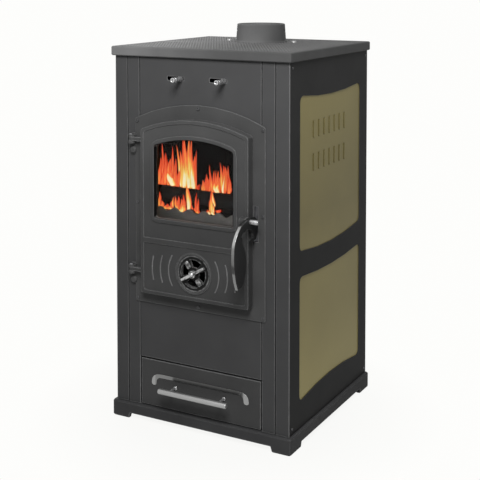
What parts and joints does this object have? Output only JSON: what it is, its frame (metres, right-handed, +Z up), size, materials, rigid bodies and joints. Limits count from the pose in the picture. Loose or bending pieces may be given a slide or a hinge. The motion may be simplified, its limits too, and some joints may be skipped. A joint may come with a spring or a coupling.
{
  "type": "wood stove",
  "caption": "Tall cast iron wood stove with an arched glazed door, lever latch, air spinner, sliding air rods, storage drawer and round flue collar on top.",
  "frame": {"origin": "on the floor, under the middle of the bounding box", "axes": "+Z up, +X to the stove's right seen from the front, +Y to its back; the front faces -Y"},
  "size_m": [0.563, 0.6621, 1.107],
  "materials": {
    "plinth_iron": "matt black cast iron, fine sand texture",
    "casing_black": "satin black heat-proof paint",
    "front_enamel": "charcoal heat-proof paint, fine grain",
    "drawer_enamel": "charcoal heat-proof paint, fine grain",
    "olive_enamel": "satin olive bronze paint",
    "top_iron": "blackened cast iron with a fine raised pattern",
    "collar_iron": "matt grey cast iron",
    "plate_screw_steel": "bright",
    "firebox_plate": "matt black plate",
    "grate_iron": "rough grey cast iron",
    "fire_brick": "sooty fire brick",
    "pan_steel": "bare folded sheet",
    "frame_iron": "matt black cast iron",
    "frame_screw_steel": "blackened screw head",
    "hinge_pin_steel": "plain steel",
    "door_iron": "matt black cast iron",
    "window_glass": "clear heat-proof glass over a dark firebox",
    "gasket_fibre": "grey glass-fibre rope and tape",
    "retainer_steel": "plain steel",
    "lever_iron": "satin black cast iron",
    "polished_chrome": "polished",
    "spinner_iron": "satin black with bright raised pads",
    "polished_trim": "polished band",
    "satin_bar": "satin bar"
  },
  "bodies": {
    "root": {"base_plinth": "plinth_iron", "rear_panel": "casing_black", "side_panel_left": "casing_black", "side_panel_right": "casing_black", "front_panel_upper": "front_enamel", "front_panel_lower": "front_enamel", "front_post_left": "front_enamel", "front_post_right": "front_enamel", "front_stile_left": "front_enamel", "front_stile_right": "front_enamel", "side_inlay_left": "olive_enamel", "side_inlay_right": "olive_enamel", "top_plate": "top_iron", "flue_collar": "collar_iron", "top_plate_screw_left": "plate_screw_steel", "top_plate_screw_right": "plate_screw_steel", "firebox_shell": "firebox_plate", "grate_bed": "firebox_plate", "baffle_plate": "firebox_plate", "floor_tray": "firebox_plate", "fire_grate": "grate_iron", "log_guard": "grate_iron", "fire_brick_rear": "fire_brick", "fire_brick_left": "fire_brick", "fire_brick_right": "fire_brick", "ash_pan": "pan_steel", "drawer_rail_left": "pan_steel", "drawer_rail_right": "pan_steel", "latch_keeper": "pan_steel", "door_frame": "frame_iron", "frame_screw_1": "frame_screw_steel", "frame_screw_2": "frame_screw_steel", "frame_screw_3": "frame_screw_steel", "frame_screw_4": "frame_screw_steel", "frame_screw_5": "frame_screw_steel", "frame_screw_6": "frame_screw_steel", "frame_screw_7": "frame_screw_steel", "frame_screw_8": "frame_screw_steel", "hinge_pin_lower": "hinge_pin_steel", "hinge_pin_upper": "hinge_pin_steel"},
    "door": {"door_leaf": "door_iron", "glass_gasket": "gasket_fibre", "door_glass": "window_glass", "glass_retainer": "retainer_steel", "door_rope_seal": "gasket_fibre", "handle_pin": "polished_chrome", "spinner_bolt": "polished_chrome"},
    "handle": {"door_handle": "lever_iron", "handle_rim": "polished_chrome"},
    "spinner": {"air_spinner": "spinner_iron"},
    "drawer": {"drawer_front": "drawer_enamel", "drawer_box": "pan_steel", "drawer_trim": "polished_trim", "drawer_bar": "satin_bar", "drawer_post_left": "polished_chrome", "drawer_post_right": "polished_chrome"},
    "damper_left": {"damper_rod_left": "polished_chrome", "damper_slide_left": "pan_steel"},
    "damper_right": {"damper_rod_right": "polished_chrome", "damper_slide_right": "pan_steel"}
  },
  "joints": [
    {"name": "door_swing", "type": "hinge", "parent": "root", "child": "door", "pos_m": [-0.2085, -0.218, 0.6], "axis": [0, 0, -1], "range_deg": [0, 110]},
    {"name": "handle_lift", "type": "hinge", "parent": "door", "child": "handle", "pos_m": [0.1755, -0.244, 0.613], "axis": [-1, 0, 0], "range_deg": [0, 38]},
    {"name": "spinner_turn", "type": "hinge", "parent": "door", "child": "spinner", "pos_m": [0, -0.2283, 0.449], "axis": [0, -1, 0], "range_deg": [0, 45]},
    {"name": "drawer_slide", "type": "slide", "parent": "root", "child": "drawer", "axis": [0, -1, 0], "range_m": [0, 0.3]},
    {"name": "damper_left_slide", "type": "slide", "parent": "root", "child": "damper_left", "axis": [-1, 0, 0], "range_m": [0, 0.038]},
    {"name": "damper_right_slide", "type": "slide", "parent": "root", "child": "damper_right", "axis": [-1, 0, 0], "range_m": [0, 0.04]}
  ]
}
